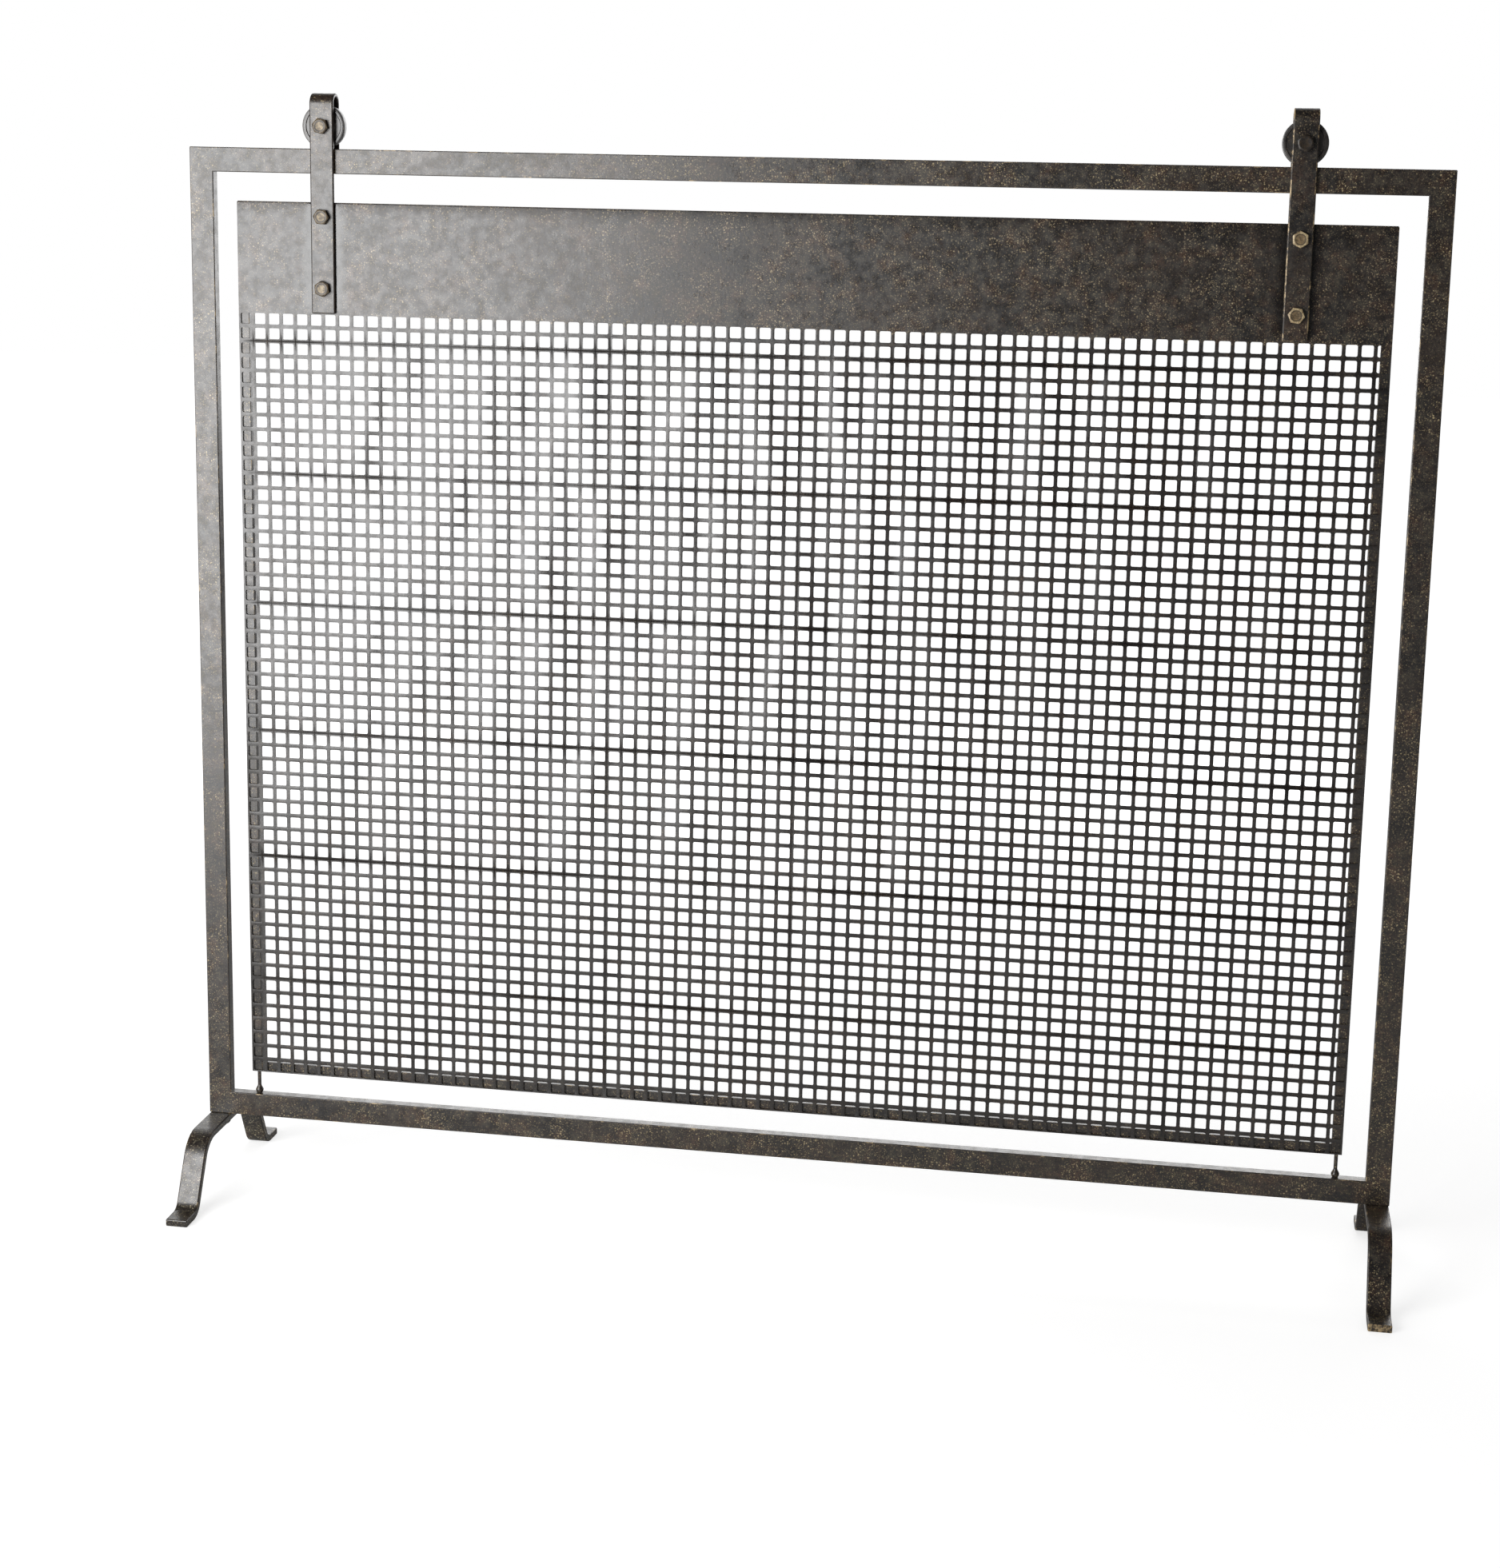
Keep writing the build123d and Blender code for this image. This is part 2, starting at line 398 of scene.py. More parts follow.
class AntiqueBronze(Finish):
    """Near-black brown paint with rust-brown clouds, olive stains and small flecks of rubbed gold.

    Flecks is how thickly they lie, up to about 5 where they are thick everywhere. Shade darkens the paint.
    """

    def __init__(self, name, flecks=1.0, fleck_colour=FLECK_GOLD, shade=0.0):
        super().__init__(name)
        clouds = self.noise(CLOUDS, detail=5, roughness=0.6)
        mottle = self.noise(MOTTLE, detail=5, roughness=0.65)
        stains = self.noise(STAINS, detail=4, roughness=0.65)
        self.grain = self.noise(GRAIN, detail=3, roughness=0.6)
        base = self.mix(self.band(clouds, 0.36, 0.66), NEAR_BLACK, DARK_BROWN)
        base = self.mix(self.band(mottle, 0.46, 0.72, top=0.8), base, RUST)
        base = self.mix(self.band(stains, 0.5, 0.68, top=0.7), base, OLIVE)
        base = self.mix(self.band(self.grain, 0.34, 0.55, bottom=0.75, top=0.0), base, SOOT)
        self.paint = self.mix(shade, base, SOOT)
        self.gold = self.maths("MULTIPLY", self.spots(), self.thickness(flecks))
        self.fleck_colour = fleck_colour
        self.rough = self.band(stains, 0.3, 0.7, bottom=PAINT_SMOOTH, top=PAINT_DULL)
        self.gloss = PAINT_GLOSS

    def spots(self):
        """Flecks of two sizes."""
        coarse = self.dots(COARSE_FLECKS, FLECK_SIZE, FLECK_SHARE)
        fine = self.dots(FINE_FLECKS, FLECK_SIZE, FLECK_SHARE)
        return self.maths("MAXIMUM", coarse, fine)

    def thickness(self, flecks):
        """Flecks lie in patches, with fewer between them."""
        most = min(flecks, 1.0)
        least = min(FLECKS_BETWEEN * flecks, most)
        patches = self.noise(FLECK_PATCHES, detail=3, roughness=0.6)
        return self.band(patches, 0.38, 0.66, bottom=least, top=most)

    def done(self, dents=None):
        """Puts the flecks on the paint. Dents are heights in units of the paint's relief."""
        self.wear(self.mix(self.gold, self.paint, self.fleck_colour), self.rough, gloss=self.gloss)
        height = self.maths("ADD", self.grain, self.maths("MULTIPLY", self.gold, FLECK_RELIEF))
        self.bump(self.maths("ADD", height, dents) if dents else height, PAINT_RELIEF)
        return self.material


def sheet_dents(f, header_low, punched):
    """Long waves and small dents that the punch leaves in the field. The waves end at the header."""
    waves = f.maths("SUBTRACT", f.noise(1, detail=1, place=f.stretched(WAVES)), 0.5)
    dents = f.maths("SUBTRACT", f.noise(DENTS), 0.5)
    below = f.band(f.axes(f.place)["Z"], header_low - WAVE_FADE, header_low, bottom=1.0, top=0.0)
    waves = f.maths("MULTIPLY", waves, f.maths("MULTIPLY", below, WAVE_HEIGHT))
    dents = f.maths("MULTIPLY", dents, f.maths("MULTIPLY", punched, DENT_HEIGHT))
    return f.maths("ADD", waves, dents)


def panel_finish(name):
    """The sheet's paint: a painted shadow beside the straps, and blacker with fewer flecks where it is
    punched.

    The creases between strokes of the punch are darkened as painted shade, and dull, more so in some
    places.
    """
    f = AntiqueBronze(name, flecks=1.4, fleck_colour=FLECK_TAN, shade=0.12)
    header_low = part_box("panel_sheet")[1].z - HEADER_HEIGHT
    punched = f.band(f.axes(f.place)["Z"], header_low - HOLE_SIZE / 2, header_low, bottom=1.0, top=0.0)
    # Painted shade: the creases between strokes of the punch are darkened towards soot and lose their
    # gloss.
    patches = f.band(f.noise(CREASE_SHADE_PATCHES), 0.35, 0.6, bottom=CREASE_SHADE_LEAST)
    crease_shade = f.maths("MULTIPLY", f.attribute("crease"), patches)
    # Painted shadow: beside each strap the header is darkened towards soot, with fewer flecks and smoother
    # paint.
    shadow = painted_strap_shadow(f)
    f.paint = f.mix(f.maths("MULTIPLY", punched, PUNCHED_SOOT), f.paint, SOOT)
    f.paint = f.mix(f.maths("MULTIPLY", crease_shade, CREASE_SHADE_DARKNESS), f.paint, SOOT)
    f.paint = f.mix(shadow, f.paint, SOOT)
    sparse = f.band(f.maths("MAXIMUM", punched, shadow), 0.0, 1.0, bottom=1.0, top=PUNCHED_FLECKS)
    f.gold = f.maths("MULTIPLY", f.gold, sparse)
    f.gloss = f.band(crease_shade, 0.0, 1.0, bottom=PAINT_GLOSS, top=CREASE_GLOSS)
    f.rough = f.maths("SUBTRACT", f.rough, f.maths("MULTIPLY", shadow, STRAP_POLISH))
    return f.done(sheet_dents(f, header_low, punched))


def shaded_wall_finish(name):
    """The holes' walls: near-black, dull steel with a fine grain, darkened as painted shade inside the
    holes.
    """
    f = Finish(name)
    grain = f.noise(WALL_GRAIN, detail=3, roughness=0.6)
    base = f.mix(f.band(grain, 0.35, 0.65), SOOT, NEAR_BLACK)
    f.wear(base, f.band(grain, 0.3, 0.7, bottom=0.65, top=0.85), gloss=0.15)
    f.bump(grain, WALL_RELIEF)
    return f.material


def rubbed_edge(name, per_metre=EDGE_PATCHES, bared=0.0):
    """The same paint where hands and cloths have worn it to patches of gold. Bared widens the patches."""
    f = Finish(name)
    patches = f.noise(per_metre, detail=5, roughness=0.7)
    grain = f.noise(EDGE_GRAIN, detail=3, roughness=0.6)
    base = f.mix(f.band(grain, 0.35, 0.7), EDGE_BROWN, EDGE_TAN)
    base = f.mix(f.band(patches, 0.53 - bared, 0.68 - bared, top=0.85), base, RUBBED_GOLD)
    f.wear(base, f.band(patches, 0.35, 0.7, bottom=0.5, top=0.32), metallic=0.2, gloss=0.8)
    f.bump(grain, EDGE_RELIEF)
    return f.material


def bolt_metal(name, dark, light):
    """Bronzed steel of bolts and nuts, between two tones in fine grain and small patches."""
    f = Finish(name)
    patches = f.noise(BOLT_PATCHES, detail=4, roughness=0.65)
    grain = f.noise(BOLT_GRAIN, detail=3, roughness=0.6)
    base = f.mix(f.band(patches, 0.36, 0.64), dark, light)
    base = f.mix(f.band(grain, 0.34, 0.52, bottom=0.45, top=0.0), base, SOOT)
    f.wear(base, f.band(patches, 0.35, 0.7, bottom=0.42, top=0.3), metallic=0.1, gloss=0.5)
    f.bump(grain, FINE_RELIEF)
    return f.material


def wheel_steel(name):
    """Dark satin steel with a few worn specks."""
    f = Finish(name)
    clouds = f.noise(WHEEL_CLOUDS, detail=4, roughness=0.6)
    specks = f.noise(WHEEL_SPECKS, detail=3, roughness=0.6)
    base = f.mix(f.band(clouds, 0.35, 0.7), WHEEL_DARK, WHEEL_GREY)
    base = f.mix(f.band(specks, 0.6, 0.72, top=0.6), base, WHEEL_SPECK)
    f.wear(base, f.band(clouds, 0.3, 0.7, bottom=0.28, top=0.4), gloss=0.9)
    f.bump(specks, FINE_RELIEF)
    return f.material


def aged_brass(name):
    """Dull brass with brown tarnish."""
    f = Finish(name)
    tarnish = f.noise(BRASS_PATCHES, detail=4, roughness=0.6)
    grain = f.noise(BRASS_GRAIN)
    base = f.mix(f.band(tarnish, 0.35, 0.65), BRASS, BRASS_TARNISH)
    f.wear(base, f.band(tarnish, 0.35, 0.65, bottom=0.28, top=0.5), metallic=0.9)
    f.bump(grain, FINE_RELIEF)
    return f.material


frame_bronze = AntiqueBronze("frame_bronze", flecks=1.3).done()
panel_bronze = panel_finish("panel_bronze")
shaded_hole_wall = shaded_wall_finish("shaded_hole_wall")
bar_bronze = AntiqueBronze("bar_bronze", flecks=0.9, shade=0.2).done()
hanger_bronze = AntiqueBronze("hanger_bronze", flecks=0.7, fleck_colour=FLECK_TAN, shade=0.15).done()
# The left leg, where the key light falls, has paler cream flecks that lie thicker: a painted highlight. The
# left toe shares its paint.
leg_bronze = {
    "left": AntiqueBronze("lit_left_leg_bronze", flecks=2.2, fleck_colour=LIT_FLECK_CREAM).done(),
    "right": AntiqueBronze("right_leg_bronze", flecks=1.5).done(),
}
edge_bronze = rubbed_edge("edge_bronze")
# The left strap's edges are darker, with less gold, as a painted reflection of the dim room; the right
# strap's edges have more gold, a painted highlight on their wear.
strap_edges_lit_and_shaded = {
    "left": rubbed_edge("shaded_strap_edge", bared=-0.1),
    "right": rubbed_edge("worn_highlit_strap_edge", bared=0.07),
}
toe_bronze = {
    "left": leg_bronze["left"],
    "right": rubbed_edge("toe_bronze", TOE_PATCHES, bared=0.1),
}
bolt_dark = bolt_metal("bolt_dark", BOLT_DARK, BOLT_BROWN)
bolt_rim = bolt_metal("bolt_rim", RIM_BROWN, RIM_TAN)
bolt_face = bolt_metal("bolt_face", FACE_BROWN, FACE_TAN)
highlit_gilt_rim = bolt_metal("highlit_gilt_rim", GILT_TAN, HIGHLIT_GILT_GOLD)
gilt_face = bolt_metal("gilt_face", GILT_BROWN, GILT_TAN)
roller_steel = wheel_steel("roller_steel")
bush_brass = aged_brass("bush_brass")
# Materials of a bolt's shank and sides, its rim, and the dish in its head. The sides and the slope into the
# dish take the dark tone as painted shade, and the rim a lighter tone as painted highlight
brown_bolt = [bolt_dark, bolt_rim, bolt_face]
gilt_bolt = [bolt_rim, highlit_gilt_rim, gilt_face]
dark_bolt = [bolt_dark, bolt_dark, bolt_dark]
# Left and right bolts are lit and shaded copies: the left ones browner, as the key light adds its sheen
# there, the right ones brighter gilt with a painted highlight on the rim. The right axle bolt is dark all
# over.
strap_bolts_by_light = {"left": brown_bolt, "right": gilt_bolt}
axle_bolts = {"left": brown_bolt, "right": dark_bolt}


def piece(name, mesh, materials, nodes, body, flat=False):
    """Puts a finished mesh in the scene, in place of CAD nodes and riding on their body.

    A flat piece has its shading led by its large faces, so that its rounded edges don't tint them.
    """
    for material in materials:
        mesh.materials.append(material)
    mesh.polygons.foreach_set("use_smooth", [True] * len(mesh.polygons))
    mesh.set_sharp_from_angle(angle=SHADE_ANGLE)
    thing = bpy.data.objects.new(name, mesh)
    bpy.context.scene.collection.objects.link(thing)
    if flat:
        thing.modifiers.new("face_led_shading", "WEIGHTED_NORMAL").keep_sharp = True
    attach(thing, body)
    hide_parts(*nodes)
    return thing


def mesh_of(name, vertices, faces):
    mesh = bpy.data.meshes.new(name)
    mesh.from_pydata(vertices, [], faces)
    return mesh


class SheetMesh:
    """The punched sheet: plain header above, square holes with rounded corners below.

    Every hole has a ring of twelve points in front and four behind. The lines between holes run through the
    bars' middles, so a bar is crowned in front, and sinks to a crease where two strokes of the punch meet.
    """

    def __init__(self):
        self.low, self.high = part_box("panel_sheet")
        self.vertices = []
        self.faces = []
        self.walls = []
        self.places = []
        self.creases = []
        self.header_low = self.high.z - HEADER_HEIGHT
        self.columns = self.spread(
            self.low.x + SHEET_SIDE_MARGIN, self.high.x - SHEET_SIDE_MARGIN, HOLE_COLUMNS
        )
        self.rows = self.spread(self.low.z + SHEET_BOTTOM_MARGIN, self.header_low, HOLE_ROWS)
        self.column_lines = [self.low.x, *self.middles(self.columns), self.high.x]
        self.row_lines = [self.low.z, *self.middles(self.rows), self.header_low + HEADER_RIM]

    @staticmethod
    def spread(first, last, count):
        """Middles of so many holes, with the outer holes' edges at first and last."""
        step = (last - first - HOLE_SIZE) / (count - 1)
        return [first + HOLE_SIZE / 2 + step * k for k in range(count)]

    @staticmethod
    def middles(values):
        return [(a + b) / 2 for a, b in zip(values, values[1:])]

    @staticmethod
    def column_seam(line):
        """True where two strokes of the punch meet at an upright bar."""
        return 0 < line < HOLE_COLUMNS and line % PUNCH_COLUMNS == 0

    @staticmethod
    def row_seam(line):
        """True where two strokes of the punch meet at a level bar."""
        from_top = HOLE_ROWS - line
        return 0 < line < HOLE_ROWS and from_top % PUNCH_ROWS == PUNCH_ROWS_AT_TOP

    def flat_place(self, x, z, behind):
        """Where a point lies on the picture map: the front in the upper half, the back in the lower."""
        across = (x - self.low.x) / (self.high.x - self.low.x)
        up = (z - self.low.z) / (self.high.z - self.low.z)
        return (
            UV_MARGIN + across * (1 - 2 * UV_MARGIN),
            (0.0 if behind else 0.5) + UV_MARGIN + up * (0.5 - 2 * UV_MARGIN),
        )

    def point(self, x, z, sunk=0.0, behind=False, crease=0.0):
        """A new point of the sheet's front or back. Sunk is how far it lies behind that face."""
        thickness = self.high.y - self.low.y if behind else 0.0
        self.vertices.append((x, self.low.y + thickness + sunk, z))
        self.places.append(self.flat_place(x, z, behind))
        self.creases.append(crease)
        return len(self.vertices) - 1

    def face(self, *corners, places=None, wall=False):
        self.faces.append((corners, places or [self.places[c] for c in corners]))
        self.walls.append(int(wall))

    def build(self):
        self.front = self.grid(behind=False)
        self.back = self.grid(behind=True)
        for i in range(HOLE_COLUMNS):
            for j in range(HOLE_ROWS):
                self.cell(i, j)
        self.header()
        return self.mesh()

    def grid(self, behind):
        """Points where the bars' middle lines cross."""
        found = {}
        for i, x in enumerate(self.column_lines):
            for j, z in enumerate(self.row_lines):
                inside = 0 < i < HOLE_COLUMNS and 0 < j < HOLE_ROWS
                seam = inside and (self.column_seam(i) or self.row_seam(j))
                crease = seam * (1.0 if self.row_seam(j) else COLUMN_CREASE)
                sunk = PUNCH_SEAM_DEPTH if seam and not behind else 0.0
                found[i, j] = self.point(x, z, sunk, behind, crease)
        return found

    def cell(self, i, j):
        """One hole with the half bars around it. A bar with a seam takes extra width from its holes."""
        middle = (self.columns[i], self.rows[j])
        half = HOLE_SIZE / 2
        extra = PUNCH_SEAM_EXTRA / 2
        left = middle[0] - half + extra * self.column_seam(i)
        right = middle[0] + half - extra * self.column_seam(i + 1)
        bottom = middle[1] - half + extra * self.row_seam(j)
        top = middle[1] + half - extra * self.row_seam(j + 1)
        corners = [(left, bottom), (right, bottom), (right, top), (left, top)]
        steps = [(i, j), (i + 1, j), (i + 1, j + 1), (i, j + 1)]
        front = [self.front[s] for s in steps]
        back = [self.back[s] for s in steps]
        arcs = [self.corner_arc(corner, quarter) for quarter, corner in enumerate(corners)]
        behind = [self.back_corner(corner, middle) for corner in corners]
        inner = [self.wall_place(x, z, middle) for x, z in corners]
        for k in range(4):
            n = (k + 1) % 4
            start, turn, end = arcs[k]
            after = arcs[n][0]
            self.face(front[k], end, turn)
            self.face(front[k], turn, start)
            self.face(front[k], front[n], after, end)
            self.wall_face([start, turn], [behind[k]], [inner[k]])
            self.wall_face([turn, end], [behind[k]], [inner[k]])
            self.wall_face([end, after], [behind[n], behind[k]], [inner[n], inner[k]])
            self.face(back[n], back[k], behind[k], behind[n])

    def corner_arc(self, corner, quarter):
        """Three front points round a hole's corner, anticlockwise round the hole."""
        inward = [(1, 1), (-1, 1), (-1, -1), (1, -1)][quarter]
        centre = [c + HOLE_CORNER * way for c, way in zip(corner, inward)]
        points = []
        for step in range(3):
            angle = math.pi * (1 + quarter / 2 + step / 4)
            x = centre[0] + HOLE_CORNER * math.cos(angle)
            z = centre[1] + HOLE_CORNER * math.sin(angle)
            points.append(self.point(x, z, BAR_CROWN))
        return points

    def back_corner(self, corner, middle):
        """A hole's corner behind the sheet, where the punch breaks out wider."""
        x, z = [c + math.copysign(HOLE_BREAKOUT, c - m) for c, m in zip(corner, middle)]
        return self.point(x, z, behind=True)

    def wall_face(self, front, behind, inner):
        """A piece of a hole's wall, from points in front to those behind, which inner places on the map."""
        places = [self.places[point] for point in front] + inner
        self.face(*front, *behind, places=places, wall=True)

    def wall_place(self, x, z, middle):
        """The hole's wall is drawn inside the hole on the picture map."""
        return self.flat_place(
            middle[0] + (x - middle[0]) * UV_WALL, middle[1] + (z - middle[1]) * UV_WALL, False
        )

    def header(self):
        """The plain band above the holes, with rounded top corners, and the sheet's outer edge."""
        outlines = []
        for behind, base in ((False, self.front), (True, self.back)):
            rows = [[base[i, HOLE_ROWS] for i in range(HOLE_COLUMNS + 1)]]
            for z in self.strip_heights():
                rows.append([self.point(x, z, behind=behind) for x in self.column_lines])
            roll = 0.0 if behind else HEADER_ROLL
            top = [self.point(x, self.high.z, roll, behind) for x in self.column_lines[1:-1]]
            arcs = {side: self.header_arc(side, behind) for side in (-1, 1)}
            for lower, upper in zip(rows, rows[1:]):
                for i in range(HOLE_COLUMNS):
                    self.sheet_face([lower[i], lower[i + 1], upper[i + 1], upper[i]], behind)
            last = rows[-1]
            self.sheet_face([last[0], last[1], top[0], *reversed(arcs[-1])], behind)
            for i in range(1, HOLE_COLUMNS - 1):
                self.sheet_face([last[i], last[i + 1], top[i], top[i - 1]], behind)
            self.sheet_face([last[-2], last[-1], *arcs[1], top[-1]], behind)
            outlines.append(self.outline(base, rows, top, arcs))
        front, back = outlines
        for k, start in enumerate(front):
            end = front[(k + 1) % len(front)]
            self.edge_face(start, end, back[k], back[(k + 1) % len(back)])

    def strip_heights(self):
        """Heights of the lines across the header: one close above the holes, then even strips."""
        step = (HEADER_HEIGHT - HEADER_CORNER) / HEADER_STRIPS
        even = [self.header_low + step * strip for strip in range(1, HEADER_STRIPS + 1)]
        return [self.header_low + 2 * HEADER_RIM, *even]

    def header_arc(self, side, behind):
        """Points round a top corner of the sheet, from above its upright edge to its top edge."""
        edge = self.high.x if side > 0 else self.low.x
        points = []
        for step in range(1, HEADER_ARC_STEPS + 1):
            angle = math.pi / 2 * step / HEADER_ARC_STEPS
            x = edge - side * HEADER_CORNER * (1 - math.cos(angle))
            z = self.high.z - HEADER_CORNER * (1 - math.sin(angle))
            roll = 0.0 if behind else HEADER_ROLL * math.sin(angle)
            points.append(self.point(x, z, roll, behind))
        return points

    def sheet_face(self, corners, behind):
        self.face(*(reversed(corners) if behind else corners))

    def outline(self, base, rows, top, arcs):
        """The sheet's outer points, anticlockwise seen from the front."""
        bottom = [base[i, 0] for i in range(HOLE_COLUMNS + 1)]
        right = [base[HOLE_COLUMNS, j] for j in range(1, HOLE_ROWS + 1)] + [row[-1] for row in rows[1:]]
        left = [base[0, j] for j in range(1, HOLE_ROWS + 1)] + [row[0] for row in rows[1:]]
        return [*bottom, *right, *arcs[1], *reversed(top), *reversed(arcs[-1]), *reversed(left)]

    def edge_face(self, start, end, back_start, back_end):
        """One strip of the sheet's outer edge, drawn just outside the front on the picture map."""
        u_start, v_start = self.places[start]
        u_end, v_end = self.places[end]
        along = math.hypot(u_end - u_start, v_end - v_start)
        out = ((v_end - v_start) / along * UV_EDGE, -(u_end - u_start) / along * UV_EDGE)
        self.face(
            start, back_start, back_end, end,
            places=[
                (u_start, v_start),
                (u_start + out[0], v_start + out[1]),
                (u_end + out[0], v_end + out[1]),
                (u_end, v_end),
            ],
        )

    def mesh(self):
        mesh = mesh_of("punched_sheet", self.vertices, [corners for corners, places in self.faces])
        layer = mesh.uv_layers.new(name="OFBake")
        flat = [value for corners, places in self.faces for place in places for value in place]
        layer.uv.foreach_set("vector", flat)
        mesh.polygons.foreach_set("material_index", self.walls)
        crease = mesh.attributes.new("crease", "FLOAT", "POINT")
        crease.data.foreach_set("value", self.creases)
        return mesh


def is_end(edge, low, high):
    """True for an edge round the left or right end of a bar."""
    return any(all(abs(v.co.x - x) < NEARBY for v in edge.verts) for x in (low.x, high.x))


def is_bolt_hole(edge, middle):
    """True for an edge of a bolt hole, which lies near the piece's middle line and under a bolt head."""
    return all(abs(v.co.x - middle) < HEX_FLATS / 2 for v in edge.verts)


def free_edges(shape, low, high, bored, welded):
    """Sharp edges, without the holes of a bored piece and the ends of a welded bar."""
    middle = (low.x + high.x) / 2
    return [
        edge
        for edge in shape.edges
        if len(edge.link_faces) == 2
        and edge.calc_face_angle(0) > SHARP_ANGLE
        and not (welded and is_end(edge, low, high))
        and not (bored and is_bolt_hole(edge, middle))
    ]


def run_on(shape, low, high, reach):
    """Moves both ends of a bar outwards."""
    middle = (low.x + high.x) / 2
    for vert in shape.verts:
        if abs(vert.co.x - middle) > (high.x - low.x) / 2 - NEARBY:
            vert.co.x += math.copysign(reach, vert.co.x - middle)


def softened(name, node, radius, bored=False, welded=False):
    """A CAD node's shape with its free edges rounded. Faces of the rounding take the second material.

    The bolt holes of a bored piece stay sharp. A welded bar has square ends, which run on over the rounding
    of the posts, as the welds are ground flush.
    """
    low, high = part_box(node)
    shape = bmesh.new()
    shape.from_mesh(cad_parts[node].data)
    bmesh.ops.remove_doubles(shape, verts=shape.verts, dist=SAME_PLACE)
    bmesh.ops.dissolve_limit(
        shape, angle_limit=FLAT_ANGLE, verts=shape.verts, edges=shape.edges, use_dissolve_boundaries=False
    )
    bmesh.ops.bevel(
        shape,
        geom=free_edges(shape, low, high, bored, welded),
        offset=radius,
        segments=EDGE_SEGMENTS,
        profile=ROUND_PROFILE,
        affect="EDGES",
        material=1,
        clamp_overlap=True,
    )
    if welded:
        run_on(shape, low, high, radius)
    mesh = bpy.data.meshes.new(name)
    shape.to_mesh(mesh)
    shape.free()
    return mesh


def rub_toes(mesh, reach):
    """Gives the third material to the toes' end faces."""
    for face in mesh.polygons:
        if abs(face.center.y) > reach - TOE_END:
            face.material_index = 2


def turned(steps, segments, closed=False):
    """Points and faces of a body of rings about Z.

    A step is (radius, height), or a function of the angle that gives them. A radius of 0 is a tip. The
    steps run from the bottom up the outside, and a closed body goes on from the last ring to the first.
    """
    points = []
    rings = []
    for step in steps:
        ring = []
        count = 1 if not callable(step) and step[0] == 0 else segments
        for k in range(count):
            angle = 2 * math.pi * k / segments
            radius, height = step(angle) if callable(step) else step
            ring.append(len(points))
            points.append((radius * math.cos(angle), radius * math.sin(angle), height))
        rings.append(ring)
    pairs = list(zip(rings, rings[1:]))
    if closed:
        pairs.append((rings[-1], rings[0]))
    faces = []
    for lower, upper in pairs:
        for k in range(segments):
            n = (k + 1) % segments
            below = [lower[k % len(lower)], lower[n % len(lower)]]
            above = [upper[n % len(upper)], upper[k % len(upper)]]
            faces.append(list(dict.fromkeys(below + above)))
    return points, faces


def standing(points, base, way, spin=0.0):
    """Moves points from about the Z axis to about an axis through base."""
    turn = way.to_track_quat("Z", "Y").to_matrix().to_4x4()
    move = Matrix.Translation(base) @ turn @ Matrix.Rotation(spin, 4, "Z")
    return [move @ Vector(p) for p in points]


def hex_radius(angle):
    """From the middle of the hexagon to its side."""
    sixth = math.pi / 3
    return HEX_FLATS / 2 / math.cos((angle + sixth / 2) % sixth - sixth / 2)


def chamfered(height, way):
    """The hexagon's edge where a flat cone trims its corners, at the top (way 1) or bottom (way -1)."""
    circle = HEX_FLATS / 2 * HEAD_CIRCLE
    return lambda angle: (hex_radius(angle), height - way * (hex_radius(angle) - circle) * HEAD_SLOPE)


def bolt_mesh(name, seat, way, head_height, length, spin):
    """A hex bolt whose head stands on the seat. Its bare head has a raised rim round a shallow dish."""
    half = HEX_FLATS / 2
    root = THREAD_RADIUS - THREAD_DEPTH
    first = -length + THREAD_DEPTH
    steps = [(0, -length), (root * BOLT_TIP, -length), (root, first)]
    for turn in range(int(THREADED_LENGTH / THREAD_PITCH)):
        for along, out in THREAD_TURN:
            steps.append((root + THREAD_DEPTH * out, first + THREAD_PITCH * (turn + along)))
    steps += [
        (THREAD_RADIUS, first + THREADED_LENGTH + THREAD_PITCH),
        (THREAD_RADIUS, 0),
        (half * HEAD_CIRCLE, 0),
        (half * HEAD_CIRCLE, WASHER_FACE),
        lambda angle: (hex_radius(angle), WASHER_FACE),
        chamfered(head_height, 1),
        (half * HEAD_CIRCLE, head_height),
        (half * HEAD_RIM, head_height),
        (half * HEAD_DISH, head_height - HEAD_DISH_DEPTH * HEAD_DISH_RIM),
        (0, head_height - HEAD_DISH_DEPTH),
    ]
    points, faces = turned(steps, HEX_SEGMENTS)
    mesh = mesh_of(name, standing(points, seat, way, spin), faces)
    plain = len(steps) - 1 - len(HEAD_MATERIALS)
    ring_materials = [0] * plain + HEAD_MATERIALS
    face_materials = [k for k in ring_materials for segment in range(HEX_SEGMENTS)]
    mesh.polygons.foreach_set("material_index", face_materials)
    return mesh


def nut_mesh(name, seat, way, height, spin):
    """A hex nut that stands on the seat, with a countersunk bore."""
    half = HEX_FLATS / 2
    bore = THREAD_RADIUS * NUT_BORE
    sink = THREAD_RADIUS * NUT_SINK
    steps = [
        (sink, 0),
        (half * HEAD_CIRCLE, 0),
        chamfered(0, -1),
        chamfered(height, 1),
        (half * HEAD_CIRCLE, height),
        (sink, height),
        (bore, height - (sink - bore)),
        (bore, sink - bore),
    ]
    points, faces = turned(steps, HEX_SEGMENTS, closed=True)
    return mesh_of(name, standing(points, seat, way, spin), faces)


